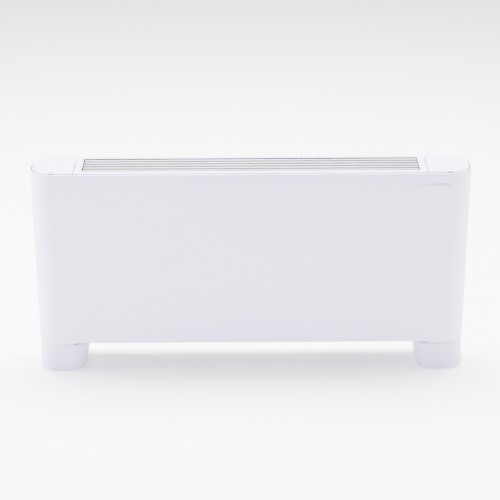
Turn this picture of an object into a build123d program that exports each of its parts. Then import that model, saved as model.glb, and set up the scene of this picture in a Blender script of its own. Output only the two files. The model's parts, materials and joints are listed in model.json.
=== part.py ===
"""Floor-standing slim fan convector: a hydronic room heater in a painted wrap-around casing.

Frame: +X to the right seen from the front, +Y to the back (wall side), +Z up. The origin is on
the floor, under the centre of the casing. Millimetres.

Air rises through the filter between the feet, passes behind and through the tilted coil, is
drawn into the cross-flow fan and leaves through the aluminium grille on top. The right end bay
holds the motor and the controls, and the left end bay the water connections.
"""
from build123d import *
import math
import os

# ---------------------------------------------------------------- driving dimensions
WIDTH = 1240.0            # casing, end to end
DEPTH = 146.0             # casing, front to back
END_RADIUS = 63.0         # plan radius of the four casing corners
FOOT_HEIGHT = 90.0        # floor to casing
COVER_TOP = 613.0         # top of the sheet-steel cover
CASE_TOP = 615.0          # top of the flaps and the outlet frame
SHEET = 1.5               # sheet-steel thickness
EDGE_ROUND = 4.0          # rolled top edge of the cover
TOP_FLANGE = 3.2          # inward reach of the cover's top edge
BOTTOM_FLANGE = 14.0      # inward reach of the cover's bottom edge
BACK_OPENING = 540.0      # half-width of the cover's open back

SEAM_X = 494.0            # plane between outlet frame and flap
SEAM_GAP = 2.6
INSET = 6.5               # frame and flaps inside the cover's outer face
GRILLE_X = 473.0          # half-length of the outlet
GRILLE_Y0, GRILLE_Y1 = -49.5, 53.5
BLADES = 5
CROSS_BARS = 7
BLADE_PITCH = 19.7
BLADE_WIDTH, BLADE_HEIGHT = 7.5, 15.0
BLADE_END_GAP = 3.0       # shadow gap round the blades' ends
FRONT_LIP = 6.5           # black lip between the frame and the front blade

PLATE_X = 480.0           # outer face of the chassis end plates
FAN_Y, FAN_Z = -2.0, 470.0
ROTOR_R = 45.0
ROTOR_X0, ROTOR_X1 = -455.0, 435.0
SHAFT_R = 4.0
RUNNING = 0.05            # radial running clearance

COIL_Y, COIL_Z = 2.0, 285.0
COIL_TILT = 16.0          # degrees from vertical, top leaning back
COIL_DEPTH, COIL_HEIGHT = 44.0, 220.0
TUBE_R = 4.75
TUBE_ROWS, TUBES_PER_ROW = 2, 8
TUBE_PITCH = 25.0
ROW_PITCH = 22.0
FIN_PITCH = 14.0
FINS = 67
FIN_THICKNESS = 0.8

HINGE_Y, HINGE_Z = 64.5, 613.0    # flap hinge axis, along X at the rear edge
HINGE_PIN_R = 1.0
KNUCKLE_R = 2.0
KNUCKLES = ((497.0, 503.0), (535.0, 541.0))   # fixed knuckles, as x ranges

FILTER_X = 469.0          # half-length of the filter
FILTER_Y0, FILTER_Y1 = -47.0, 60.0
FILTER_Z0, FILTER_Z1 = 79.0, 89.0
FILTER_BAYS = 8

HALF_W, HALF_D = WIDTH / 2, DEPTH / 2
LEFT, RIGHT = -1, 1


# ---------------------------------------------------------------- helpers
def block(x0, x1, y0, y1, z0, z1):
    """A box between two corners."""
    centre = ((x0 + x1) / 2, (y0 + y1) / 2, (z0 + z1) / 2)
    return Pos(*centre) * Box(abs(x1 - x0), abs(y1 - y0), abs(z1 - z0))


def rod_x(x0, x1, y, z, r):
    """A cylinder along X."""
    return Pos((x0 + x1) / 2, y, z) * Rot(0, 90, 0) * Cylinder(r, abs(x1 - x0))


def rod_y(y0, y1, x, z, r):
    """A cylinder along Y."""
    return Pos(x, (y0 + y1) / 2, z) * Rot(90, 0, 0) * Cylinder(r, abs(y1 - y0))


def rod_z(z0, z1, x, y, r):
    """A cylinder along Z."""
    return Pos(x, y, (z0 + z1) / 2) * Cylinder(r, abs(z1 - z0))


def stadium(inset, z0, z1):
    """The casing's plan outline, drawn in by inset, as a solid from z0 to z1."""
    outline = RectangleRounded(WIDTH - 2 * inset, DEPTH - 2 * inset, END_RADIUS - inset)
    return Pos(0, 0, z0) * extrude(outline, z1 - z0)


def sheet_along_x(lines, x0, x1, thickness=SHEET):
    """A bent sheet: its YZ profile line, traced to a thickness and run from x0 to x1."""
    profile = trace(lines, line_width=thickness)
    return extrude(Plane.YZ.offset(x0) * profile, x1 - x0)


def mirrored(side, shape):
    """The shape made for the right end, or its mirror image for the left."""
    return shape if side == RIGHT else mirror(shape, about=Plane.YZ)



# ---------------------------------------------------------------- casing
COVER_SCREW_X, COVER_SCREW_Y, COVER_SCREW_R = (528.0, 552.0), -61.9, 1.4


def make_cover_screws():
    """Small screws from inside each foot up into the cover's bottom flange."""
    z = FOOT_HEIGHT - FOOT_WALL
    screws = []
    for x in COVER_SCREW_X:
        for side in (LEFT, RIGHT):
            head = rod_z(z - 2.4, z, side * x, COVER_SCREW_Y, 2.6)
            head -= Pos(side * x, COVER_SCREW_Y, z - 2.4) * Box(1.0, 4.0, 2.0)
            head -= Pos(side * x, COVER_SCREW_Y, z - 2.4) * Box(4.0, 1.0, 2.0)
            screws.append(head + rod_z(z - 1, z + 6, side * x, COVER_SCREW_Y, COVER_SCREW_R))
    return Compound(children=screws)


def make_front_cover():
    """One sheet that is the front and both rounded ends, with rolled top and bottom edges."""
    outer = stadium(0, FOOT_HEIGHT, COVER_TOP)
    outer = fillet(outer.faces().sort_by(Axis.Z)[-1].edges(), EDGE_ROUND)
    inner = stadium(SHEET, FOOT_HEIGHT + SHEET, COVER_TOP - SHEET)
    inner = fillet(inner.faces().sort_by(Axis.Z)[-1].edges(), EDGE_ROUND - SHEET)
    cover = outer - inner
    cover -= stadium(TOP_FLANGE, COVER_TOP - 5, COVER_TOP + 5)
    cover -= stadium(BOTTOM_FLANGE, FOOT_HEIGHT - 5, FOOT_HEIGHT + 5)
    back = block(-BACK_OPENING, BACK_OPENING, HALF_D - 15, HALF_D + 5, 0, COVER_TOP + 10)
    for x in COVER_SCREW_X:
        for side in (LEFT, RIGHT):
            cover -= rod_z(FOOT_HEIGHT - 5, FOOT_HEIGHT + 5, side * x, COVER_SCREW_Y, COVER_SCREW_R)
    return cover - back


def make_outlet_frame():
    """The white sheet frame round the outlet: a top plate with a folded front and rear skirt."""
    half_x = SEAM_X - SEAM_GAP / 2
    half_y = HALF_D - INSET
    frame = block(-half_x, half_x, -half_y, half_y, CASE_TOP - 10, CASE_TOP)
    frame = fillet(frame.faces().sort_by(Axis.Z)[-1].edges().filter_by(Axis.X), 1.2)
    frame -= block(-half_x - 1, half_x + 1, -half_y + SHEET, half_y - SHEET, 0, CASE_TOP - SHEET)
    return frame - block(-GRILLE_X, GRILLE_X, GRILLE_Y0, GRILLE_Y1, 0, CASE_TOP + 5)


def make_grille_blade(index):
    """An extruded aluminium bar on edge, with rounded edges and a groove along its underside."""
    y = (GRILLE_Y0 + GRILLE_Y1) / 2 + (index - (BLADES - 1) / 2) * BLADE_PITCH
    middle = CASE_TOP - 1.0 - BLADE_HEIGHT / 2
    bar = Pos(y, middle) * RectangleRounded(BLADE_WIDTH, BLADE_HEIGHT, 1.2)
    groove = Pos(y, middle - BLADE_HEIGHT / 2) * Rectangle(BLADE_WIDTH - 4, 8.0)
    length = 2 * (GRILLE_X - BLADE_END_GAP)
    return extrude(Plane.YZ.offset(-length / 2) * (bar - groove), length)


def make_grille_cradle():
    """The black collar under the frame's opening, with the cross bars that carry the blades."""
    z0, z1 = CASE_TOP - 19.0, CASE_TOP - SHEET
    cradle = block(-GRILLE_X - 2, GRILLE_X + 2, GRILLE_Y0 - 2, GRILLE_Y1 + 2, z0, z1)
    cradle -= block(-GRILLE_X, GRILLE_X, GRILLE_Y0, GRILLE_Y1, 0, CASE_TOP)
    for i in range(CROSS_BARS):
        x = (GRILLE_X - 10) * (2 * i / (CROSS_BARS - 1) - 1)
        cradle += block(x - 2, x + 2, GRILLE_Y0 - 1, GRILLE_Y1 + 1, z0, z0 + 3)
    lip_y = GRILLE_Y0 + FRONT_LIP
    cradle += block(-GRILLE_X, GRILLE_X, GRILLE_Y0, lip_y, z1 - SHEET, z1)
    cradle += block(-GRILLE_X + 0.3, GRILLE_X - 0.3, GRILLE_Y0 + 0.3, lip_y, z1 - 0.5, CASE_TOP - 0.4)
    return cradle


def make_flap(side):
    """A rounded end flap hinged at its rear edge, with a finger notch in its front edge."""
    x0 = SEAM_X + SEAM_GAP / 2
    rim_x = KNUCKLES[1][1] + 4
    end = block(x0, HALF_W + 5, -HALF_D - 5, HALF_D + 5, CASE_TOP - 20, CASE_TOP + 5)
    plate = stadium(INSET, CASE_TOP - 2.5, CASE_TOP) & end
    top_rim = [e for e in plate.faces().sort_by(Axis.Z)[-1].edges()
               if e.center().X > x0 + 1]
    plate = fillet(top_rim, 1.2)
    rim_zone = block(rim_x, HALF_W + 5, -HALF_D - 5, HALF_D + 5, 0, CASE_TOP)
    rim_zone += block(x0, rim_x, -HALF_D - 5, 0, 0, CASE_TOP)
    rim = stadium(INSET, CASE_TOP - 7.5, CASE_TOP - 2.5) - stadium(INSET + 1.6, 0, CASE_TOP)
    flap = plate + (rim & rim_zone)
    for a, b in KNUCKLES:
        flap -= block(a - 0.5, b + 0.5, HINGE_Y - KNUCKLE_R - 0.5, HALF_D, 600, CASE_TOP + 5)
    barrel_x0, barrel_x1 = KNUCKLES[0][1] + 0.5, KNUCKLES[1][0] - 0.5
    flap -= block(barrel_x0, barrel_x1, HINGE_Y, HALF_D, 600, CASE_TOP + 5)
    flap += rod_x(barrel_x0, barrel_x1, HINGE_Y, HINGE_Z, KNUCKLE_R)
    flap -= rod_x(x0 - 5, KNUCKLES[1][1] + 2, HINGE_Y, HINGE_Z, HINGE_PIN_R + RUNNING)
    notch_x = HALF_W - END_RADIUS - 2
    notch = Pos(notch_x, -HALF_D + INSET, CASE_TOP) * Box(15, 7, 30)
    return mirrored(side, flap - notch)


def make_hinge_pin(side):
    """The steel pin that the flap turns on."""
    return mirrored(side, rod_x(KNUCKLES[0][0], KNUCKLES[1][1], HINGE_Y, HINGE_Z, HINGE_PIN_R))


def make_hinge_bracket(side):
    """A folded bracket on the chassis' rear flange, carrying the two fixed knuckles."""
    x0, x1 = KNUCKLES[0][0], KNUCKLES[1][1]
    back = HALF_D - 2 * SHEET
    riser = (HINGE_Y - 0.7, HINGE_Y + 0.7)
    bracket = block(PLATE_X + 1, x1, back - SHEET, back, 556, 600)
    bracket += block(x0, x1, back - SHEET, back, 600, 607)
    bracket += block(x0, x1, riser[0], back, 605.5, 607)
    for a, b in KNUCKLES:
        bracket += block(a, b, riser[0], riser[1], 606, HINGE_Z)
        bracket += rod_x(a, b, HINGE_Y, HINGE_Z, KNUCKLE_R)
    bracket -= rod_x(x0 - 5, x1 + 5, HINGE_Y, HINGE_Z, HINGE_PIN_R)
    return mirrored(side, bracket)


def foot_outline(inner_x, outer_x, half_depth, end_radius):
    """The foot's plan: large radii at the casing's end, smaller ones towards the middle."""
    face = Pos((inner_x + outer_x) / 2, 0) * Rectangle(outer_x - inner_x, 2 * half_depth)
    face = fillet(face.vertices().group_by(Axis.X)[-1], end_radius)
    inner_front = face.vertices().group_by(Axis.X)[0].sort_by(Axis.Y)[0]
    face = fillet(inner_front, FOOT_INNER_RADIUS)
    inner_back = face.vertices().group_by(Axis.X)[0].sort_by(Axis.Y)[-1]
    return fillet(inner_back, 18.0)


FOOT_TOP_INNER, FOOT_BASE_INNER = 473.0, 488.0
FOOT_INNER_RADIUS = 42.0
FOOT_COLLAR, FOOT_GROOVE = 7.0, 1.4
FOOT_WALL = 3.0
FOOT_NOTCH_X, FOOT_NOTCH_Z = 517.0, 84.0


def make_foot(side):
    """A hollow foot: pipes rise through it. Its inner side leans outwards to the floor.

    A groove sets its collar apart, and the collar is cut back at the inner front corner.
    """
    z_groove = FOOT_HEIGHT - FOOT_COLLAR - FOOT_GROOVE
    base = foot_outline(FOOT_BASE_INNER, HALF_W, HALF_D - 1, 46)
    crown = foot_outline(FOOT_TOP_INNER, HALF_W - 2.0, HALF_D - 2, 58)
    neck = foot_outline(FOOT_TOP_INNER + 2, HALF_W - 5.0, HALF_D - 5, 55)
    foot = loft([base, Pos(0, 0, z_groove) * crown])
    foot += Pos(0, 0, z_groove) * extrude(neck, FOOT_GROOVE)
    foot += Pos(0, 0, z_groove + FOOT_GROOVE) * extrude(crown, FOOT_COLLAR)
    w = FOOT_WALL + 3
    hollow_base = foot_outline(FOOT_BASE_INNER + w - 2, HALF_W - w + 2, HALF_D - w + 1, 46)
    hollow_crown = foot_outline(FOOT_TOP_INNER + w, HALF_W - 2 - w, HALF_D - 2 - w, 52)
    foot -= loft([Pos(0, 0, -1) * hollow_base, Pos(0, 0, FOOT_HEIGHT - FOOT_WALL) * hollow_crown])
    foot -= block(502, 600, -48, 48, 0, FOOT_HEIGHT + 5)
    foot -= block(FOOT_TOP_INNER - 5, FOOT_NOTCH_X, -HALF_D, -58, FOOT_NOTCH_Z, FOOT_HEIGHT + 5)
    for x in COVER_SCREW_X:
        foot -= rod_z(FOOT_HEIGHT - 5, FOOT_HEIGHT + 5, x, COVER_SCREW_Y, COVER_SCREW_R)
    for y in FOOT_SCREW_Y:
        foot -= rod_z(FOOT_HEIGHT - 12, FOOT_HEIGHT + 5, FOOT_SCREW_X, y, 2.75)
    return mirrored(side, foot)


FOOT_SCREW_X = 489.0
FOOT_SCREW_Y = (-36.0, 0.0, 44.0)


def make_foot_screws():
    """M5 screws from inside each foot up into the end plates' bottom flanges."""
    z = FOOT_HEIGHT - FOOT_WALL
    screws = []
    for side in (LEFT, RIGHT):
        for y in FOOT_SCREW_Y:
            head = rod_z(z - 3.2, z, FOOT_SCREW_X * side, y, 4.4)
            head -= Pos(FOOT_SCREW_X * side, y, z - 3.2) * extrude(RegularPolygon(2.0, 6), 1.8)
            screws.append(head + rod_z(z - 1, z + 12, FOOT_SCREW_X * side, y, 2.5))
    return Compound(children=screws)


# ---------------------------------------------------------------- chassis
WALL_HOLE_X, WALL_HOLE_Z0, WALL_HOLE_Z1 = 440.0, 160.0, 570.0
WALL_HOLE_R = 4.5
PIPE_GAP = (505.0, 535.0, 150.0, 300.0)       # cut-out for pipes from the wall: x and z


BACK_SCREW_X, BACK_SCREW_R = 487.0, 1.9
BACK_SCREW_Z = (130.0, 340.0, 545.0)


def back_screw(x, z):
    """One countersunk screw, flush with the outside of the back."""
    head = Pos(x, HALF_D - SHEET / 2, z) * Rot(-90, 0, 0) * Cone(BACK_SCREW_R, 3.4, SHEET)
    return head + rod_y(HALF_D - 9, HALF_D - SHEET / 2, x, z, BACK_SCREW_R)


def make_back_screws():
    """The screws that hold the back to the end plates' rear flanges."""
    screws = [back_screw(side * BACK_SCREW_X, z) for side in (LEFT, RIGHT) for z in BACK_SCREW_Z]
    return Compound(children=screws)


def make_back_plate():
    """The galvanised back, with four wall-fixing holes and a pipe cut-out at each end bay."""
    limit = BACK_OPENING - 0.5
    plate = block(-limit, limit, HALF_D - SHEET, HALF_D, FOOT_HEIGHT + 2, 603)
    for x in (-WALL_HOLE_X, WALL_HOLE_X):
        for z in (WALL_HOLE_Z0, WALL_HOLE_Z1):
            plate -= rod_y(0, HALF_D + 5, x, z, WALL_HOLE_R)
    low = FOOT_HEIGHT + 2
    plate += block(-AIRWAY_X, AIRWAY_X, FILTER_Y1 + 1, HALF_D - SHEET, low, low + SHEET)
    for side in (LEFT, RIGHT):
        x0, x1, z0, z1 = PIPE_GAP
        plate -= block(side * x0, side * x1, 60, 80, z0, z1)
        for z in BACK_SCREW_Z:
            plate -= back_screw(side * BACK_SCREW_X, z)
    return plate


def coil_at(shape):
    """Moves a shape from the coil's own upright frame to its tilted place."""
    return Pos(0, COIL_Y, COIL_Z) * Rot(-COIL_TILT, 0, 0) * shape


FLAP_REST_X = 503.0


def make_end_plate(side):
    """A chassis end plate: flanged to foot and back, with the ear that the flap rests on."""
    inner = PLATE_X - SHEET
    plate = block(inner, PLATE_X, -66, HALF_D - SHEET, FOOT_HEIGHT + 2, 594)
    plate += block(inner, PLATE_X, -58, 58, FOOT_HEIGHT, FOOT_HEIGHT + 2)
    plate += block(PLATE_X, 498, -58, 58, FOOT_HEIGHT, FOOT_HEIGHT + SHEET)
    plate += block(PLATE_X, 494, HALF_D - 2 * SHEET, HALF_D - SHEET, FOOT_HEIGHT + 20, 580)
    window = Box(40, COIL_DEPTH - 2, COIL_HEIGHT - 8)
    plate += block(inner, PLATE_X, -64, 64, 594, CASE_TOP - SHEET)
    plate += block(inner, FLAP_REST_X, -60, -60 + SHEET, 584, 600)
    plate += block(FLAP_REST_X - 6, FLAP_REST_X, -60, -60 + SHEET, 600, CASE_TOP - 2.6)
    plate -= coil_at(Pos(PLATE_X, 0, 0) * window)
    plate -= rod_x(inner - 5, PLATE_X + 5, FAN_Y, FAN_Z, 12.0)
    if side == LEFT:
        plate -= rod_x(inner - 5, PLATE_X + 5, DRAIN_Y, DRAIN_Z, DRAIN_R)
    for y in FOOT_SCREW_Y:
        plate -= rod_z(FOOT_HEIGHT - 5, FOOT_HEIGHT + 5, FOOT_SCREW_X, y, 2.5)
    for z in BACK_SCREW_Z:
        plate -= rod_y(HALF_D - 10, HALF_D, BACK_SCREW_X, z, BACK_SCREW_R)
    return mirrored(side, plate)


AIRWAY_X = PLATE_X - SHEET                     # inner faces of the end plates


def make_inner_front():
    """The inner front panel that closes the airway behind the removable cover."""
    line = Polyline((-56, 594.0), (-66.75, 594.0), (-66.75, 93.5), (FILTER_Y0, 93.5))
    return sheet_along_x(line, -AIRWAY_X, AIRWAY_X)


DRAIN_Y, DRAIN_Z, DRAIN_R = -48.0, 161.0, 7.0


def make_tray():
    """The condensate tray under the coil's lower edge, sloping side up to the inner front."""
    x = AIRWAY_X - 0.5
    tray = block(-x, x, -65.5, -1, 150, 178)
    tray -= block(-x + 2, x - 2, -63.5, -3, 152, 200)
    tray -= block(-x - 1, x + 1, -31, 10, 164, 200)
    return tray - rod_x(-x - 5, -x + 5, DRAIN_Y, DRAIN_Z, DRAIN_R)


def make_drain_spigot():
    """The drain out of the tray's left end, into the left end bay."""
    spigot = rod_x(-PLATE_X - 22, -PLATE_X + 3.5, DRAIN_Y, DRAIN_Z, DRAIN_R)
    spigot += rod_x(-PLATE_X - 3, -PLATE_X, DRAIN_Y, DRAIN_Z, DRAIN_R + 1.8)
    return spigot - rod_x(-PLATE_X - 30, -PLATE_X + 10, DRAIN_Y, DRAIN_Z, DRAIN_R - 1.5)


# ---------------------------------------------------------------- coil
def tube_place(row, index):
    """A tube's centre in the coil's own frame, as y and z."""
    return ((row - 0.5) * ROW_PITCH, (index - (TUBES_PER_ROW - 1) / 2) * TUBE_PITCH)


TUBE_PLACES = [tube_place(r, i) for r in range(TUBE_ROWS) for i in range(TUBES_PER_ROW)]


def plate_with_tube_holes(depth, height, thickness, x):
    """A flat plate across the tubes, with a hole for each."""
    face = Rectangle(depth, height)
    for y, z in TUBE_PLACES:
        face -= Pos(y, z) * Circle(TUBE_R + 0.1)
    return extrude(Plane.YZ.offset(x - thickness / 2) * face, thickness)


def make_fins():
    """The aluminium fin pack, with fewer and thicker fins than the sheet-metal one."""
    fin = plate_with_tube_holes(COIL_DEPTH, COIL_HEIGHT, FIN_THICKNESS, 0)
    first = -FIN_PITCH * (FINS - 1) / 2
    return Compound(children=[coil_at(Pos(first + FIN_PITCH * i, 0, 0) * fin) for i in range(FINS)])


COIL_PLATE_X = AIRWAY_X - SHEET / 2            # middle of the coil's end plates


def make_coil_plate(side):
    """The galvanised plate at the coil's end, against the chassis end plate."""
    return coil_at(plate_with_tube_holes(COIL_DEPTH + 4, COIL_HEIGHT + 4, SHEET, side * COIL_PLATE_X))


BEND_X = PLATE_X + 2.0                         # where the straight tubes end


def return_bend(side, row, index):
    """A U bend that joins tube index to the next one up, outside the end plate."""
    y, z = tube_place(row, index)
    r = TUBE_PITCH / 2
    x = side * BEND_X
    path = ThreePointArc((x, y, z), (x + side * r, y, z + r), (x, y, z + TUBE_PITCH))
    return sweep(Plane((x, y, z), x_dir=(0, 1, 0), z_dir=(side, 0, 0)) * Circle(TUBE_R), path)


def make_tubes():
    """Two serpentine circuits: straight copper tubes joined by U bends at alternate ends."""
    circuits = []
    for row in range(TUBE_ROWS):
        circuit = None
        for i in range(TUBES_PER_ROW):
            y, z = tube_place(row, i)
            tube = rod_x(-BEND_X, BEND_X, y, z, TUBE_R)
            circuit = tube if circuit is None else circuit + tube
        for i in range(TUBES_PER_ROW - 1):
            circuit += return_bend(RIGHT if i % 2 == 0 else LEFT, row, i)
        circuits.append(coil_at(circuit))
    return Compound(children=circuits)


HEADER_X = -512.0
UNION_Z = 140.0
UNION_LENGTH = 18.0
UNION_BORE_R = 9.3
UNION_BORE_DEPTH = 14.0
PIPE_R = 8.0


def coil_point(y, z):
    """A point of the coil's own frame, in the object's frame, as y and z."""
    a = math.radians(COIL_TILT)
    return (COIL_Y + y * math.cos(a) + z * math.sin(a), COIL_Z - y * math.sin(a) + z * math.cos(a))


def make_header(tube_index, drop_x):
    """A header across both circuits and its pipe down to a female union."""
    _, z_local = tube_place(0, tube_index)
    cy, cz = coil_point(0, z_local)
    header = coil_at(rod_y(-24, 24, HEADER_X, z_local, 9.0))
    for row in range(TUBE_ROWS):
        y, z = tube_place(row, tube_index)
        header += coil_at(rod_x(HEADER_X, -BEND_X, y, z, TUBE_R))
    if drop_x != HEADER_X:
        header += rod_x(drop_x, HEADER_X, cy, cz, PIPE_R) + Pos(drop_x, cy, cz) * Sphere(PIPE_R)
        header += rod_z(cz, cz + VENT_BOSS, HEADER_X, cy, 4.0)
    header += rod_z(UNION_Z + 4, cz, drop_x, cy, PIPE_R)
    hexagon = RegularPolygon(13.5, 6, major_radius=False)
    header += Pos(drop_x, cy, UNION_Z) * extrude(hexagon, UNION_LENGTH)
    header += rod_z(UNION_Z - 2, UNION_Z, drop_x, cy, 12.0)
    return header - rod_z(UNION_Z - 3, UNION_Z + UNION_BORE_DEPTH - 2, drop_x, cy, UNION_BORE_R)


VENT_BOSS = 11.5
SUPPLY_DROP_X, RETURN_DROP_X = -512.0, -556.0
VENT_TILT_Y, VENT_TILT_Z = coil_point(0, tube_place(0, TUBES_PER_ROW - 1)[1])
VENT_TOP = VENT_TILT_Z + 22.0


def make_vent_body():
    """The manual air vent on the return header."""
    body = rod_z(VENT_TILT_Z + VENT_BOSS, VENT_TOP, HEADER_X, VENT_TILT_Y, 5.0)
    hexagon = extrude(RegularPolygon(6.5, 6, major_radius=False), 5)
    body += Pos(HEADER_X, VENT_TILT_Y, VENT_TILT_Z + VENT_BOSS) * hexagon
    return body - rod_z(VENT_TOP - 7, VENT_TOP + 5, HEADER_X, VENT_TILT_Y, 2.5 + RUNNING)


def make_vent_screw():
    """The bleed screw, with a screwdriver slot."""
    screw = rod_z(VENT_TOP - 6.5, VENT_TOP + 3, HEADER_X, VENT_TILT_Y, 2.5)
    screw += rod_z(VENT_TOP + 0.5, VENT_TOP + 4.5, HEADER_X, VENT_TILT_Y, 4.5)
    return screw - Pos(HEADER_X, VENT_TILT_Y, VENT_TOP + 4.5) * Box(12, 1.2, 2.4)


# ---------------------------------------------------------------- fan
ROTOR_BLADES = 26
ROTOR_SEGMENTS = 9


def rotor_blade_profile():
    """One forward-curved blade, as a thin arc band between two radii."""
    start = Vector(0, ROTOR_R - 9.5)
    end = Vector(3.4, ROTOR_R - 0.8)
    middle = Vector(0.6, ROTOR_R - 5.0)
    return trace(ThreePointArc(start, middle, end), line_width=1.0)


def rotor_slice(sketch, x, length):
    """A sketch centred on the fan axis, run along X from x."""
    return extrude(Plane((x, FAN_Y, FAN_Z), x_dir=(0, 1, 0), z_dir=(1, 0, 0)) * sketch, length)


def make_impeller():
    """The long cross-flow impeller: discs joined by rings of blades, with a hub at each end."""
    disc, hub = 2.4, 14.0
    profile = rotor_blade_profile()
    blades = Sketch(children=[Rot(0, 0, 360 / ROTOR_BLADES * i) * profile for i in range(ROTOR_BLADES)])
    length = ROTOR_X1 - ROTOR_X0
    rotor = rotor_slice(blades, ROTOR_X0, length)
    for i in range(ROTOR_SEGMENTS + 1):
        at_end = i in (0, ROTOR_SEGMENTS)
        ring = Circle(ROTOR_R) if at_end else Circle(ROTOR_R) - Circle(ROTOR_R - 11)
        rotor += rotor_slice(ring, ROTOR_X0 + (length - disc) * i / ROTOR_SEGMENTS, disc)
    for x in (ROTOR_X0, ROTOR_X1 - hub):
        rotor += rotor_slice(Circle(11), x, hub)
    return rotor - rod_x(ROTOR_X0 - 5, ROTOR_X1 + 5, FAN_Y, FAN_Z, SHAFT_R)


def make_stub_shaft():
    """The left shaft end, turning in the rubber-mounted bush."""
    return rod_x(-490, ROTOR_X0 + 14, FAN_Y, FAN_Z, SHAFT_R)


def make_motor_shaft():
    """The motor's shaft, through the end plate into the impeller's right hub."""
    return rod_x(ROTOR_X1 - 14, 540, FAN_Y, FAN_Z, SHAFT_R)


def make_bearing_bush():
    """The sintered bush at the left end."""
    bush = rod_x(-488, -470, FAN_Y, FAN_Z, 7.0)
    return bush - rod_x(-500, -460, FAN_Y, FAN_Z, SHAFT_R + RUNNING)


def make_bearing_rubber():
    """The rubber ring that holds the bush in the end plate."""
    ring = rod_x(-484, -474, FAN_Y, FAN_Z, 16.0)
    ring -= rod_x(-490, -470, FAN_Y, FAN_Z, 7.0)
    groove = rod_x(-PLATE_X, -AIRWAY_X, FAN_Y, FAN_Z, 20.0) - rod_x(-PLATE_X, -AIRWAY_X, FAN_Y, FAN_Z, 12.0)
    return ring - groove


MOTOR_R = 40.0
MOTOR_X0, MOTOR_X1 = 490.0, 544.0


def make_motor_body():
    """The motor's laminated stator between its two end shells."""
    body = rod_x(MOTOR_X0 + 14, MOTOR_X1 - 14, FAN_Y, FAN_Z, MOTOR_R)
    for i in range(12):
        a = math.radians(30 * i)
        y, z = FAN_Y + MOTOR_R * math.cos(a), FAN_Z + MOTOR_R * math.sin(a)
        body -= rod_x(MOTOR_X0, MOTOR_X1, y, z, 2.2)
    return body - rod_x(MOTOR_X0 - 5, MOTOR_X1 + 5, FAN_Y, FAN_Z, SHAFT_R + 4)


def make_motor_shell(at_drive_end):
    """A cast end shell with its bearing boss."""
    x0, x1 = (MOTOR_X0, MOTOR_X0 + 14) if at_drive_end else (MOTOR_X1 - 14, MOTOR_X1)
    shell = rod_x(x0, x1, FAN_Y, FAN_Z, MOTOR_R - 2)
    shell = fillet(shell.faces().sort_by(Axis.X)[0 if at_drive_end else -1].edges(), 6)
    return shell - rod_x(x0 - 9, x1 + 9, FAN_Y, FAN_Z, SHAFT_R + RUNNING)


def make_motor_bracket():
    """The ring-and-arms bracket that holds the motor off the right end plate."""
    bracket = rod_x(MOTOR_X0 + 16, MOTOR_X0 + 24, FAN_Y, FAN_Z, MOTOR_R + 4)
    bracket -= rod_x(MOTOR_X0 + 10, MOTOR_X0 + 30, FAN_Y, FAN_Z, MOTOR_R)
    for dy in (-1, 1):
        y0, y1 = FAN_Y + dy * (MOTOR_R + 2), FAN_Y + dy * (MOTOR_R + 5)
        bracket += block(PLATE_X, MOTOR_X0 + 24, y0, y1, FAN_Z - 9, FAN_Z + 9)
        bracket += block(PLATE_X, PLATE_X + 3, y0, FAN_Y + dy * (MOTOR_R + 17), FAN_Z - 9, FAN_Z + 9)
    return bracket


def make_rear_scroll():
    """The volute sheet behind the impeller, rising to the outlet's back edge."""
    def polar(radius, degrees):
        a = math.radians(degrees)
        return (FAN_Y + radius * math.cos(a), FAN_Z + radius * math.sin(a))
    wrap = ThreePointArc(polar(48.5, -75), polar(52.5, -35), polar(59.5, 5))
    foot = Line((polar(48.5, -75)[0], polar(48.5, -75)[1]), (24.0, 400.0))
    rise = Line(polar(59.5, 5), (GRILLE_Y1 + 0.5, 594.0))
    return sheet_along_x([foot, wrap, rise], -AIRWAY_X, AIRWAY_X)


def make_front_tongue():
    """The cut-off sheet in front of the impeller, rising to the outlet's front edge."""
    line = Polyline((-64.0, 470.0), (-52.0, 494.0), (-49.0, 520.0), (GRILLE_Y0 - 1.0, 594.0))
    return sheet_along_x(line, -AIRWAY_X, AIRWAY_X)


# ---------------------------------------------------------------- filter
def make_filter_frame():
    """The moulded filter frame, with cross ribs and two pull tabs on its front edge."""
    frame = block(-FILTER_X, FILTER_X, FILTER_Y0, FILTER_Y1, FILTER_Z0, FILTER_Z1)
    frame -= block(-FILTER_X + 7, FILTER_X - 7, FILTER_Y0 + 7, FILTER_Y1 - 7, 0, 200)
    for i in range(1, FILTER_BAYS):
        x = -FILTER_X + 2 * FILTER_X * i / FILTER_BAYS
        frame += block(x - 1.5, x + 1.5, FILTER_Y0 + 7, FILTER_Y1 - 7, FILTER_Z0, FILTER_Z0 + 4)
    for x in (-300, 300):
        tab = block(x - 20, x + 20, FILTER_Y0 - 5, FILTER_Y0, FILTER_Z1 - 3, FILTER_Z1)
        frame += fillet(tab.edges().filter_by(Axis.Z).group_by(Axis.Y)[0], 3)
    return frame


def make_filter_mesh():
    """The filter fabric, resting on the ribs."""
    z = FILTER_Z0 + 4
    return block(-FILTER_X + 7, FILTER_X - 7, FILTER_Y0 + 7, FILTER_Y1 - 7, z, z + 1)


def make_filter_rail(side):
    """A channel under the end plate, open towards the middle, that one end of the filter runs in."""
    web_x = FILTER_X + 1.0
    lip_z = FILTER_Z0 - 0.3
    y0, y1 = FILTER_Y0 + 1, FILTER_Y1
    rail = block(FILTER_X - 7, AIRWAY_X, y0, y1, FOOT_HEIGHT, FOOT_HEIGHT + SHEET)
    rail += block(web_x, web_x + SHEET, y0, y1, lip_z - SHEET, FOOT_HEIGHT + SHEET)
    rail += block(FILTER_X - 6, web_x + SHEET, y0, y1, lip_z - SHEET, lip_z)
    return mirrored(side, rail)


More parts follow.
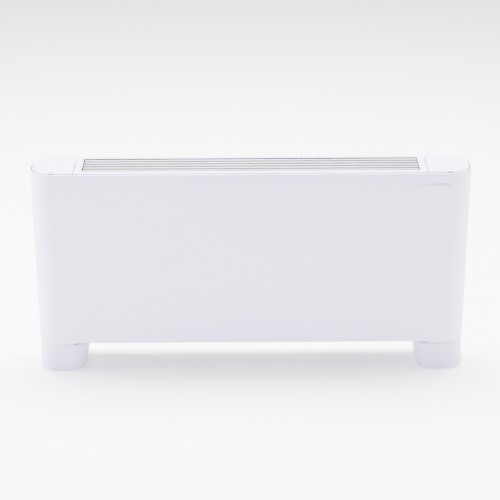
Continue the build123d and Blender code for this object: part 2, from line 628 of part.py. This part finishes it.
# ---------------------------------------------------------------- controls
BOX_X0, BOX_X1 = PLATE_X, 592.0
BOX_Y = 42.0
BOX_Z0, BOX_Z1 = 522.0, 580.0
PANEL_TOP = BOX_Z1 + 2.5
SPEED_KNOB = (541.0, -20.0)
THERMOSTAT_KNOB = (541.0, 20.0)
SWITCH_X, SWITCH_Y = 577.0, 0.0
KNOB_R = 14.0
GLAND = (582.0, 20.0)
GLAND_R = 6.0
CABLE_R = 3.6
KNOB_TOP = PANEL_TOP + 16.0


def make_control_box():
    """The open-topped box for the wiring, with a gland hole in its floor."""
    box = block(BOX_X0, BOX_X1, -BOX_Y, BOX_Y, BOX_Z0, BOX_Z1)
    box -= block(BOX_X0 + 2, BOX_X1 - 2, -BOX_Y + 2, BOX_Y - 2, BOX_Z0 + 2, BOX_Z1 + 5)
    return box - rod_z(BOX_Z0 - 5, BOX_Z0 + 5, *GLAND, GLAND_R)


def make_control_panel():
    """The box's top plate, drilled for the two knobs and the rocker."""
    panel = block(BOX_X0 + 0.5, BOX_X1, -BOX_Y, BOX_Y, BOX_Z1, PANEL_TOP)
    for x, y in (SPEED_KNOB, THERMOSTAT_KNOB):
        panel -= rod_z(BOX_Z1 - 5, PANEL_TOP + 5, x, y, 3.0 + RUNNING)
    return panel - block(SWITCH_X - 7, SWITCH_X + 7, SWITCH_Y - 11, SWITCH_Y + 11, BOX_Z1 - 5, PANEL_TOP + 5)


def make_knob(place):
    """A round knob with a raised grip bar, on its own spindle."""
    x, y = place
    knob = rod_z(PANEL_TOP + 0.6, PANEL_TOP + 6, x, y, KNOB_R)
    knob = fillet(knob.faces().sort_by(Axis.Z)[-1].edges(), 1.0)
    grip = Pos(x, y, PANEL_TOP + 6) * extrude(SlotOverall(2 * KNOB_R - 4, 6), KNOB_TOP - PANEL_TOP - 6)
    return knob + grip + rod_z(BOX_Z1 - 8, PANEL_TOP + 1, x, y, 3.0)


SWITCH_PIVOT_Z = BOX_Z1 - 2.0


def make_rocker():
    """The summer or winter rocker, a shallow V that tips about its middle."""
    y0, y1, z = -9.5, 9.5, SWITCH_PIVOT_Z
    tip = math.tan(math.radians(10.0)) * 9.5
    low, high = z - 2, z + 8
    outline = Polyline((y0, low), (y1, low), (y1, high - tip), (0, high - 1), (y0, high), (y0, low))
    rocker = extrude(Plane.YZ.offset(SWITCH_X - 6.3) * make_face(outline), 12.6)
    return rocker - rod_x(SWITCH_X - 10, SWITCH_X + 10, SWITCH_Y, SWITCH_PIVOT_Z, 1.2 + RUNNING)


def make_rocker_pin():
    """The pivot pin of the rocker, held in its two cheeks under the panel."""
    pin = rod_x(SWITCH_X - 9, SWITCH_X + 9, SWITCH_Y, SWITCH_PIVOT_Z, 1.2)
    for side in (-1, 1):
        x0, x1 = SWITCH_X + side * 6.9, SWITCH_X + side * 9
        pin += block(x0, x1, -4, 4, BOX_Z1 - 6, BOX_Z1)
    return pin


def make_circuit_board():
    """The speed controller's board on the box floor."""
    return block(BOX_X0 + 8, BOX_X1 - 8, -34, 8, BOX_Z0 + 6, BOX_Z0 + 7.6)


def make_board_parts():
    """The relays and the motor's run capacitor on the board."""
    z = BOX_Z0 + 7.6
    relays = [block(x, x + 16, -30, -18, z, z + 14) for x in (494, 514, 534)]
    capacitor = rod_x(492, 540, -4, z + 9, 9.0)
    return Compound(children=relays + [capacitor])


def make_terminal_block():
    """The mains and motor terminals, one body with a row of screw holes."""
    x0, pitch, count = 494.0, 10.0, 8
    body = block(x0, x0 + pitch * count, 18, 36, BOX_Z0 + 2, BOX_Z0 + 16)
    for i in range(count):
        body -= rod_z(BOX_Z0 + 9, BOX_Z0 + 20, x0 + pitch * (i + 0.5), 27, 2.6)
    return body


def make_cable_gland():
    """The gland for the supply cable, pointing down from the box's floor over the right foot."""
    x, y = GLAND
    gland = rod_z(BOX_Z0 - 5, BOX_Z0 + 4, x, y, GLAND_R)
    gland += Pos(x, y, BOX_Z0 - 5) * extrude(RegularPolygon(8, 6, major_radius=False), 5)
    gland += rod_z(BOX_Z0 - 11, BOX_Z0 - 5, x, y, 7.0)
    return gland - rod_z(BOX_Z0 - 20, BOX_Z0 + 20, x, y, CABLE_R)


# ---------------------------------------------------------------- small casing pieces
def make_badge():
    """A plain oblong badge on the cover's upper right corner, with no lettering."""
    face = Plane((512, -HALF_D, 578), x_dir=(1, 0, 0), z_dir=(0, -1, 0))
    badge = extrude(face * SlotOverall(84, 9), 0.9)
    return badge


def build():
    """Every node of the object, by name."""
    made = {"front_cover": make_front_cover(), "outlet_frame": make_outlet_frame()}
    for i in range(BLADES):
        made[f"grille_blade_{i + 1}"] = make_grille_blade(i)
    made["grille_cradle"] = make_grille_cradle()
    for side, name in ((LEFT, "left"), (RIGHT, "right")):
        made[f"{name}_flap"] = make_flap(side)
        made[f"{name}_flap_pin"] = make_hinge_pin(side)
        made[f"{name}_flap_bracket"] = make_hinge_bracket(side)
        made[f"{name}_foot"] = make_foot(side)
        made[f"{name}_end_plate"] = make_end_plate(side)
        made[f"{name}_filter_rail"] = make_filter_rail(side)
        made[f"coil_plate_{name}"] = make_coil_plate(side)
    made["foot_screws"] = make_foot_screws()
    made["cover_screws"] = make_cover_screws()
    made["back_plate"] = make_back_plate()
    made["back_screws"] = make_back_screws()
    made["inner_front_panel"] = make_inner_front()
    made["condensate_tray"] = make_tray()
    made["drain_spigot"] = make_drain_spigot()
    made["coil_fins"] = make_fins()
    made["coil_tubes"] = make_tubes()
    made["supply_header"] = make_header(0, SUPPLY_DROP_X)
    made["return_header"] = make_header(TUBES_PER_ROW - 1, RETURN_DROP_X)
    made["air_vent_body"] = make_vent_body()
    made["air_vent_screw"] = make_vent_screw()
    made["fan_impeller"] = make_impeller()
    made["fan_stub_shaft"] = make_stub_shaft()
    made["motor_shaft"] = make_motor_shaft()
    made["bearing_bush"] = make_bearing_bush()
    made["bearing_rubber"] = make_bearing_rubber()
    made["motor_stator"] = make_motor_body()
    made["motor_drive_shell"] = make_motor_shell(True)
    made["motor_rear_shell"] = make_motor_shell(False)
    made["motor_bracket"] = make_motor_bracket()
    made["rear_scroll"] = make_rear_scroll()
    made["front_tongue"] = make_front_tongue()
    made["filter_frame"] = make_filter_frame()
    made["filter_mesh"] = make_filter_mesh()
    made["control_box"] = make_control_box()
    made["control_panel"] = make_control_panel()
    made["speed_knob"] = make_knob(SPEED_KNOB)
    made["thermostat_knob"] = make_knob(THERMOSTAT_KNOB)
    made["season_rocker"] = make_rocker()
    made["rocker_pivot"] = make_rocker_pin()
    made["circuit_board"] = make_circuit_board()
    made["board_components"] = make_board_parts()
    made["terminal_block"] = make_terminal_block()
    made["cable_gland"] = make_cable_gland()
    made["badge_plate"] = make_badge()
    return made


os.makedirs("parts", exist_ok=True)
for node, shape in build().items():
    export_step(shape, f"parts/{node}.step")
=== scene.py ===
import json
import math

import bpy
from mathutils import Matrix, Vector


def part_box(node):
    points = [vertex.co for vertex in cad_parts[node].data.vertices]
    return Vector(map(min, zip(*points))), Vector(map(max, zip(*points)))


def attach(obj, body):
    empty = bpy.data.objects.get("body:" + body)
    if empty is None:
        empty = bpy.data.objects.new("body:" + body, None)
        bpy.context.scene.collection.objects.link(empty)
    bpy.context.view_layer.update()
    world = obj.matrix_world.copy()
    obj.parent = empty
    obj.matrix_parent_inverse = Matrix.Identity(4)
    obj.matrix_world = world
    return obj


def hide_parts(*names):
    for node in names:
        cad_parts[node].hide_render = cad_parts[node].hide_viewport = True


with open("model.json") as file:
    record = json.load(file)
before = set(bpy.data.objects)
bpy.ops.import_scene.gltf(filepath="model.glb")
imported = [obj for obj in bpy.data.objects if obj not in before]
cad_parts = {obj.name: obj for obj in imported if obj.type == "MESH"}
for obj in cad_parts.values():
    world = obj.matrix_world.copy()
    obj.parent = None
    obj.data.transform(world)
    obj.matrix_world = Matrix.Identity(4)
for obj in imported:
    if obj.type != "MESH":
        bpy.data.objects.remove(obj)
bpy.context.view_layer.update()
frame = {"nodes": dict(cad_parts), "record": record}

MM = 0.001
HALF_W, HALF_D = 620.0, 73.0
END_RADIUS = 63.0
FOOT_TOP, COVER_TOP, CASE_TOP = 90.0, 613.0, 615.0
SHEET = 1.5
EDGE_ROUND = 4.0
HEM = 14.0                       # width of the flange under the casing
BACK_OPENING = 540.0             # half-width of the cover's open back
COIL_Y, COIL_Z, COIL_TILT = 2.0, 285.0, 16.0
COIL_DEPTH, COIL_HEIGHT, FIN_PITCH, FIN_COUNT = 44.0, 220.0, 2.8, 331
KNOB_BASE, PANEL_FACE = 583.1, 582.4
CAMERA_PLACE = (-0.0242, -4.083, 2.152)
CAMERA_PITCH, CAMERA_YAW, CAMERA_ROLL = 23.79, 0.30, 0.19
CAMERA_LENS, CAMERA_SENSOR = 111.456, 36.0


# ------------------------------------------------------------------ camera
def add_camera():
    """The camera: above the front, a little left of the middle, long lens."""
    pitch, yaw, roll = (math.radians(v) for v in (CAMERA_PITCH, CAMERA_YAW, CAMERA_ROLL))
    forward = Vector((math.sin(yaw) * math.cos(pitch), math.cos(yaw) * math.cos(pitch), -math.sin(pitch)))
    right = Vector((math.cos(yaw), -math.sin(yaw), 0.0))
    up = right.cross(forward)
    image_right = math.cos(roll) * right - math.sin(roll) * up
    image_up = math.sin(roll) * right + math.cos(roll) * up
    data = bpy.data.cameras.new("camera")
    data.lens, data.sensor_width = CAMERA_LENS, CAMERA_SENSOR
    camera = bpy.data.objects.new("camera", data)
    turn = Matrix((image_right, image_up, -forward)).transposed().to_4x4()
    camera.matrix_world = Matrix.Translation(CAMERA_PLACE) @ turn
    bpy.context.scene.collection.objects.link(camera)
    bpy.context.scene.camera = camera


# ------------------------------------------------------------------ materials
class Shader:
    """A principled material with helpers for the nodes that drive it."""

    def __init__(self, name):
        self.material = bpy.data.materials.new(name)
        self.material.use_nodes = True
        self.tree = self.material.node_tree
        self.bsdf = self.tree.nodes["Principled BSDF"]
        self.place = self.tree.nodes.new("ShaderNodeTexCoord").outputs["Object"]

    def link(self, a, b):
        self.tree.links.new(a, b)

    def put(self, kind, **values):
        node = self.tree.nodes.new(kind)
        for key, value in values.items():
            node.inputs[key].default_value = value
        return node

    def stretched(self, scale):
        mapping = self.put("ShaderNodeMapping", Scale=scale)
        self.link(self.place, mapping.inputs["Vector"])
        return mapping.outputs["Vector"]

    def noise(self, scale, detail=3.0, stretch=None):
        node = self.put("ShaderNodeTexNoise", Scale=scale, Detail=detail)
        self.link(self.stretched(stretch) if stretch else self.place, node.inputs["Vector"])
        return node.outputs["Fac"]

    def cells(self, scale, output="Color"):
        node = self.put("ShaderNodeTexVoronoi", Scale=scale)
        self.link(self.place, node.inputs["Vector"])
        return node.outputs[output]

    def between(self, factor, low, high):
        node = self.put("ShaderNodeMapRange")
        node.inputs["From Min"].default_value = 0.3
        node.inputs["From Max"].default_value = 0.7
        node.inputs["To Min"].default_value = low
        node.inputs["To Max"].default_value = high
        self.link(factor, node.inputs["Value"])
        return node.outputs["Result"]

    def mix(self, factor, first, second):
        node = self.tree.nodes.new("ShaderNodeMix")
        node.data_type = "RGBA"
        node.inputs["A"].default_value = (*first, 1.0)
        node.inputs["B"].default_value = (*second, 1.0)
        self.link(factor, node.inputs["Factor"])
        return node.outputs["Result"]

    def bump(self, height, strength, distance):
        node = self.put("ShaderNodeBump", Strength=strength, Distance=distance)
        self.link(height, node.inputs["Height"])
        self.link(node.outputs["Normal"], self.bsdf.inputs["Normal"])

    def set(self, **values):
        for key, value in values.items():
            self.bsdf.inputs[key.replace("_", " ")].default_value = value


def grained(name, first, second, rough, metal=0.0, patch=6.0, grain=900.0, stretch=None, depth=0.0002,
            strength=0.25, coat=0.0, specular=0.5):
    """A material whose colour drifts over patches and whose grain moves roughness and bump."""
    s = Shader(name)
    s.set(Metallic=metal, Coat_Weight=coat, Coat_Roughness=0.25, Specular_IOR_Level=specular)
    s.link(s.mix(s.between(s.noise(patch), 0.0, 1.0), first, second), s.bsdf.inputs["Base Color"])
    fine = s.noise(grain, 4.0, stretch)
    s.link(s.between(fine, rough[0], rough[1]), s.bsdf.inputs["Roughness"])
    s.bump(fine, strength, depth)
    return s.material


def galvanised():
    """Zinc-coated sheet: spangle cells of slightly different tone and gloss."""
    s = Shader("galvanised_sheet")
    s.set(Metallic=0.85)
    tone = s.tree.nodes.new("ShaderNodeSeparateColor")
    s.link(s.cells(120.0), tone.inputs["Color"])
    s.link(s.mix(tone.outputs["Red"], (0.50, 0.52, 0.54), (0.66, 0.68, 0.69)), s.bsdf.inputs["Base Color"])
    s.link(s.between(tone.outputs["Green"], 0.36, 0.52), s.bsdf.inputs["Roughness"])
    s.bump(s.noise(700.0), 0.15, 0.0001)
    return s.material


def circuit_lacquer():
    """Solder-resist green with faint copper tracks under it."""
    s = Shader("circuit_lacquer")
    s.set(Coat_Weight=0.4, Roughness=0.4)
    tracks = s.between(s.cells(260.0, "Distance"), 0.0, 1.0)
    s.link(s.mix(tracks, (0.02, 0.16, 0.06), (0.04, 0.26, 0.10)), s.bsdf.inputs["Base Color"])
    s.bump(tracks, 0.3, 0.0001)
    return s.material


def make_materials():
    """Every slot's material by the record's slot name, and a few more."""
    return {
        "white_paint": grained("white_powder_coat", (0.68, 0.68, 0.87), (0.70, 0.70, 0.89), (0.34, 0.44),
                               patch=2.5, grain=1100.0, depth=0.00012, strength=0.18, coat=0.15),
        "foot_white": grained("white_moulded_foot", (0.60, 0.60, 0.76), (0.63, 0.63, 0.79), (0.40, 0.50),
                              patch=9.0, grain=1900.0, depth=0.0001, strength=0.22),
        "satin_aluminium": grained("satin_anodised_aluminium", (0.47, 0.47, 0.49), (0.53, 0.53, 0.55),
                                   (0.42, 0.58), metal=0.7, patch=12.0, grain=60.0, stretch=(0.6, 30.0, 30.0),
                                   depth=0.00008, strength=0.3),
        # near-black steel; on the grille cradle its black is painted shade, the dark lines round the outlet
        # opening
        "dark_steel": grained("black_steel_painted_shade", (0.012, 0.012, 0.013), (0.022, 0.022, 0.024),
                              (0.6, 0.75), specular=0.12),
        "galvanised": galvanised(),
        "steel": grained("plain_steel", (0.45, 0.45, 0.46), (0.58, 0.58, 0.58), (0.28, 0.42), metal=1.0,
                         patch=40.0, grain=500.0),
        "fin_aluminium": grained("mill_aluminium", (0.66, 0.67, 0.69), (0.78, 0.79, 0.80), (0.28, 0.42),
                                 metal=1.0, patch=25.0, grain=70.0, stretch=(6.0, 1.0, 12.0)),
        "copper": grained("drawn_copper", (0.62, 0.28, 0.16), (0.80, 0.42, 0.26), (0.24, 0.42), metal=1.0,
                          patch=30.0, grain=260.0),
        "brass": grained("machined_brass", (0.66, 0.48, 0.20), (0.80, 0.62, 0.30), (0.22, 0.36), metal=1.0,
                         patch=60.0, grain=600.0),
        "black_rubber": grained("moulded_rubber", (0.018, 0.018, 0.018), (0.035, 0.035, 0.035), (0.65, 0.8)),
        "grey_plastic": grained("grey_moulded_plastic", (0.30, 0.31, 0.32), (0.35, 0.36, 0.37), (0.45, 0.58),
                                patch=15.0, grain=1500.0),
        "filter_fabric": grained("filter_thread", (0.10, 0.10, 0.105), (0.17, 0.17, 0.175), (0.7, 0.85),
                                 patch=90.0, grain=2500.0),
        "black_plastic": grained("black_moulded_plastic", (0.010, 0.010, 0.011), (0.020, 0.020, 0.022),
                                 (0.62, 0.76), patch=20.0, grain=1700.0, specular=0.2),
        "board_green": circuit_lacquer(),
    }


# ------------------------------------------------------------------ mesh helpers
def mesh_object(name, points, faces, material, body, stands_for=(), sharp=35.0):
    """A mesh piece from points in millimetres, riding on a body."""
    mesh = bpy.data.meshes.new(name)
    mesh.from_pydata([tuple(c * MM for c in p) for p in points], [], faces)
    mesh.validate()
    mesh.polygons.foreach_set("use_smooth", [True] * len(mesh.polygons))
    mesh.set_sharp_from_angle(angle=math.radians(sharp))
    mesh.materials.append(material)
    piece = bpy.data.objects.new(name, mesh)
    bpy.context.scene.collection.objects.link(piece)
    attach(piece, body)
    if stands_for:
        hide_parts(*stands_for)
    return piece


def bevelled(piece, width, segments=2, angle=40.0):
    """Softens the piece's sharp edges."""
    modifier = piece.modifiers.new("bevel", "BEVEL")
    modifier.width, modifier.segments = width * MM, segments
    modifier.limit_method = "ANGLE"
    modifier.angle_limit = math.radians(angle)
    modifier.harden_normals = True
    return piece


class Builder:
    """Collects points and faces of one mesh."""

    def __init__(self):
        self.points, self.faces = [], []

    def loft(self, rings, close_ring=True, close_loft=False, caps=False):
        """Joins rings of equal length with quads."""
        start, n, m = len(self.points), len(rings[0]), len(rings)
        for ring in rings:
            self.points.extend(ring)
        for i in range(m if close_loft else m - 1):
            for j in range(n if close_ring else n - 1):
                a = start + i * n + j
                b = start + i * n + (j + 1) % n
                c = start + ((i + 1) % m) * n + (j + 1) % n
                d = start + ((i + 1) % m) * n + j
                self.faces.append((a, b, c, d))
        if caps:
            self.faces.append(tuple(start + j for j in reversed(range(n))))
            self.faces.append(tuple(start + (m - 1) * n + j for j in range(n)))

    def box(self, x0, x1, y0, y1, z0, z1):
        low = [(x0, y0, z0), (x1, y0, z0), (x1, y1, z0), (x0, y1, z0)]
        high = [(x, y, z1) for x, y, _ in low]
        self.loft([low, high], caps=True)

    def lathe(self, profile, centre, steps=48, radius_at=None):
        """Turns (radius, z) points round a vertical axis, with caps at both ends."""
        rings = []
        for r, z in profile:
            ring = []
            for i in range(steps):
                a = 2 * math.pi * i / steps
                rr = r * (radius_at(a, z) if radius_at else 1.0)
                ring.append((centre[0] + rr * math.cos(a), centre[1] + rr * math.sin(a), z))
            rings.append(ring)
        self.loft(rings, caps=True)


def arc(cx, cy, r, start, end, steps):
    """Points on an arc, angles in degrees."""
    angles = [math.radians(start + (end - start) * i / steps) for i in range(steps + 1)]
    return [(cx + r * math.cos(a), cy + r * math.sin(a)) for a in angles]


# ------------------------------------------------------------------ casing
def cover_path(back_x):
    """The casing outline from the back's right edge round the front to its left edge."""
    x, y, r = HALF_W - END_RADIUS, HALF_D - END_RADIUS, END_RADIUS
    steps = 28
    path = [(back_x, HALF_D, 0.0, 1.0)]
    for i in range(steps + 1):
        a = math.radians(90 - 90 * i / steps)
        path.append((x + r * math.cos(a), y + r * math.sin(a), math.cos(a), math.sin(a)))
    for i in range(steps + 1):
        a = math.radians(-90 * i / steps)
        path.append((x + r * math.cos(a), -y + r * math.sin(a), math.cos(a), math.sin(a)))
    front = [(x * (1 - 2 * i / 24), -HALF_D, 0.0, -1.0) for i in range(1, 24)]
    left = [(-px, py, -nx, ny) for px, py, nx, ny in reversed(path)]
    return path + front + left


def cover_profile():
    """The sheet's section as (inset, height) points: hems, walls and the rolled top edge."""
    top = COVER_TOP - EDGE_ROUND
    outer = [(HEM, FOOT_TOP), (6.0, FOOT_TOP)]
    outer += [(2.0 - 2.0 * math.sin(a), FOOT_TOP + 2.0 - 2.0 * math.cos(a))
              for a in (math.radians(t) for t in (0, 22, 45, 68, 90))]
    outer += [(0.0, z) for z in (200.0, 330.0, 460.0, 560.0)]
    outer += [(4.0 - 4.0 * math.cos(a), top + 4.0 * math.sin(a))
              for a in (math.radians(t) for t in (0, 12, 24, 36, 48, 60, 70, 78.46))]
    inner = [(4.0 - 2.5 * math.cos(a), top + 2.5 * math.sin(a))
             for a in (math.radians(t) for t in (71.3, 50, 25, 0))]
    inner += [(1.5, 300.0), (1.5, FOOT_TOP + 3.0), (3.0, FOOT_TOP + SHEET), (HEM, FOOT_TOP + SHEET)]
    return outer + inner


def add_cover(materials):
    """The casing sheet, swept round the outline; it stands for the CAD cover."""
    profile = cover_profile()
    rings = [[(x - nx * i, y - ny * i, z) for i, z in profile] for x, y, nx, ny in cover_path(BACK_OPENING)]
    b = Builder()
    b.loft(rings, caps=True)
    mesh_object("front_cover_skin", b.points, b.faces, materials["white_paint"], "casing",
                ["front_cover"], sharp=50.0)


def add_badge(materials):
    """A plain satin plate with softened edges, standing just proud of the cover."""
    low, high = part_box("badge_plate")
    cx, cz = (low.x + high.x) / 2 / MM, (low.z + high.z) / 2 / MM
    hx, r = (high.x - low.x) / 2 / MM, (high.z - low.z) / 2 / MM
    rings = []
    for inset, y in ((0.0, -HALF_D), (0.0, -HALF_D - 0.5), (0.25, -HALF_D - 0.8), (0.8, -HALF_D - 0.9)):
        ring = arc(cx + hx - r, cz, r - inset, -90, 90, 14) + arc(cx - hx + r, cz, r - inset, 90, 270, 14)
        rings.append([(x, y, z) for x, z in ring])
    b = Builder()
    b.loft(rings, caps=True)
    mesh_object("badge_blank", b.points, b.faces, materials["satin_aluminium"], "casing",
                ["badge_plate"])


# ------------------------------------------------------------------ filter and coil
def add_filter_weave(materials):
    """The filter cloth as woven strands passing over and under each other."""
    low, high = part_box("filter_mesh")
    x0, x1, y0, y1 = (v / MM for v in (low.x, high.x, low.y, high.y))
    z, pitch, half = (low.z + high.z) / 2 / MM, 3.1, 0.45
    nx, ny = int((x1 - x0) / pitch), int((y1 - y0) / pitch)
    b = Builder()
    for i in range(nx + 1):
        x = x0 + 0.5 + (x1 - x0 - 1.0) * i / nx
        line = [(y0 + (y1 - y0) * j / ny, z + (0.3 if (i + j) % 2 else -0.3)) for j in range(ny + 1)]
        b.loft([[(x - half, y, h), (x, y, h + 0.2), (x + half, y, h), (x, y, h - 0.2)] for y, h in line])
    for j in range(ny + 1):
        y = y0 + 0.5 + (y1 - y0 - 1.0) * j / ny
        line = [(x0 + (x1 - x0) * i / nx, z + (-0.3 if (i + j) % 2 else 0.3)) for i in range(nx + 1)]
        b.loft([[(x, y - half, h), (x, y, h - 0.2), (x, y + half, h), (x, y, h + 0.2)] for x, h in line])
    mesh_object("filter_weave", b.points, b.faces, materials["filter_fabric"], "filter",
                ["filter_mesh"])


def add_fins(materials):
    """The coil's fin pack at its real fine pitch, each fin a corrugated plate."""
    tilt = math.radians(COIL_TILT)
    thick, folds = 0.16, 12
    b = Builder()
    for i in range(FIN_COUNT):
        x = (i - (FIN_COUNT - 1) / 2) * FIN_PITCH
        rings = []
        for k in range(folds + 1):
            u = COIL_DEPTH * (k / folds - 0.5)
            wave = 0.35 * (1 if k % 2 else -1)
            ring = []
            half = COIL_HEIGHT / 2
            for side, v in ((-thick, -half), (thick, -half), (thick, half), (-thick, half)):
                y = COIL_Y + u * math.cos(tilt) + v * math.sin(tilt)
                h = COIL_Z - u * math.sin(tilt) + v * math.cos(tilt)
                ring.append((x + wave + side, y, h))
            rings.append(ring)
        b.loft(rings, caps=True)
    mesh_object("coil_fin_pack", b.points, b.faces, materials["fin_aluminium"], "casing",
                ["coil_fins"], sharp=20.0)


# ------------------------------------------------------------------ controls
def add_knob(node, materials):
    """A moulded knob: fluted skirt, domed face, and a grip bar with a white pointer line."""
    low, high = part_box(node)
    cx, cy = (low.x + high.x) / 2 / MM, (low.y + high.y) / 2 / MM
    base, top = KNOB_BASE, high.z / MM
    flutes = 24

    def radius_at(angle, z):
        return 1.0 if z > base + 4.2 else 1.0 - 0.022 * (1 + math.cos(flutes * angle)) / 2

    b = Builder()
    b.lathe([(13.2, base), (14.0, base + 0.6), (14.0, base + 4.0), (13.5, base + 5.0), (12.4, base + 5.5),
             (8.0, base + 5.9), (0.5, base + 6.0)], (cx, cy), steps=144, radius_at=radius_at)
    rings = []
    for inset, z in ((0.0, base + 4.8), (0.0, top - 1.2), (0.35, top - 0.45), (1.1, top)):
        ring = arc(cx + 9.0, cy, 3.0 - inset, -90, 90, 10) + arc(cx - 9.0, cy, 3.0 - inset, 90, 270, 10)
        rings.append([(x, y, z) for x, y in ring])
    b.loft(rings, caps=True)
    b.lathe([(3.0, 572.0), (3.0, base)], (cx, cy), steps=32)
    mesh_object(node + "_moulding", b.points, b.faces, materials["black_plastic"], node,
                [node])
    p = Builder()
    p.box(cx + 4.0, cx + 10.6, cy - 0.5, cy + 0.5, top - 0.4, top + 0.02)
    bevelled(mesh_object(node + "_pointer", p.points, p.faces, materials["white_paint"], node), 0.15)


def add_dial_marks(materials):
    """Tick marks printed round each knob, a longer one at each end of the scale."""
    for node in ("speed_knob", "thermostat_knob"):
        low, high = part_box(node)
        cx, cy = (low.x + high.x) / 2 / MM, (low.y + high.y) / 2 / MM
        b = Builder()
        for i in range(10):
            a = math.radians(-30 * i)
            inner, outer = 15.2, (18.4 if i in (0, 9) else 17.2)
            side = Vector((-math.sin(a), math.cos(a))) * 0.3
            ray = Vector((math.cos(a), math.sin(a)))
            base = [(cx + ray.x * r + side.x * s, cy + ray.y * r + side.y * s)
                    for r, s in ((inner, -1), (outer, -1), (outer, 1), (inner, 1))]
            b.loft([[(x, y, z) for x, y in base] for z in (PANEL_FACE, PANEL_FACE + 0.18)], caps=True)
        mesh_object(node + "_scale", b.points, b.faces, materials["white_paint"], "casing")


# ------------------------------------------------------------------ carried-over nodes
def dress_nodes(materials):
    """Gives every CAD node its material and a weld, and softens the edges of the flaps, outlet frame and
    feet.
    """
    slots = {s["node"]: s["material_slot"] for s in frame["record"]["subparts"]}
    for name, node in frame["nodes"].items():
        node.data.materials.clear()
        node.data.materials.append(materials[slots[name]])
        weld = node.modifiers.new("weld", "WELD")
        weld.merge_threshold = 0.00001
    for name in ("left_flap", "right_flap", "outlet_frame", "left_foot", "right_foot"):
        bevel = frame["nodes"][name].modifiers.new("bevel", "BEVEL")
        bevel.width, bevel.segments = 0.0004, 2
        bevel.limit_method, bevel.angle_limit = "ANGLE", math.radians(50)


# ------------------------------------------------------------------ stage and light
def add_floor():
    mesh = bpy.data.meshes.new("floor")
    mesh.from_pydata([(-400, -400, 0), (400, -400, 0), (400, 400, 0), (-400, 400, 0)], [], [(0, 1, 2, 3)])
    s = Shader("floor_white")
    s.set(Roughness=0.9, Emission_Color=(1.0, 1.0, 1.0, 1.0), Emission_Strength=0.9)
    s.link(s.mix(s.noise(0.7), (0.95, 0.95, 0.95), (0.96, 0.96, 0.96)), s.bsdf.inputs["Base Color"])
    mesh.materials.append(s.material)
    floor = bpy.data.objects.new("floor", mesh)
    bpy.context.scene.collection.objects.link(floor)


def add_area(name, place, target, size, power, colour=(1.0, 1.0, 1.0)):
    data = bpy.data.lights.new(name, "AREA")
    data.shape, data.size, data.size_y = "RECTANGLE", size[0], size[1]
    data.energy, data.color = power, colour
    light = bpy.data.objects.new(name, data)
    light.location = place
    light.rotation_mode = "QUATERNION"
    light.rotation_quaternion = (Vector(target) - Vector(place)).to_track_quat("-Z", "Y")
    bpy.context.scene.collection.objects.link(light)


def add_light():
    world = bpy.data.worlds.new("studio")
    world.use_nodes = True
    world.node_tree.nodes["Background"].inputs["Color"].default_value = (0.80, 0.80, 1.0, 1.0)
    world.node_tree.nodes["Background"].inputs["Strength"].default_value = 0.35
    bpy.context.scene.world = world
    add_area("top_light", (0.0, 0.9, 3.4), (0.0, 0.0, 0.3), (4.0, 1.6), 1150.0)
    add_area("left_light", (-3.4, 0.2, 1.4), (-0.5, 0.0, 0.4), (1.6, 1.6), 380.0)
    add_area("right_light", (3.4, 0.2, 1.4), (0.5, 0.0, 0.4), (1.6, 1.6), 230.0)
    add_area("front_light", (-1.6, -3.6, 2.6), (0.0, 0.0, 0.4), (1.6, 1.2), 225.0, (0.70, 0.70, 1.0))


add_camera()
materials = make_materials()
dress_nodes(materials)
add_cover(materials)
add_badge(materials)
add_filter_weave(materials)
add_fins(materials)
for knob in ("speed_knob", "thermostat_knob"):
    add_knob(knob, materials)
add_dial_marks(materials)
add_floor()
add_light()
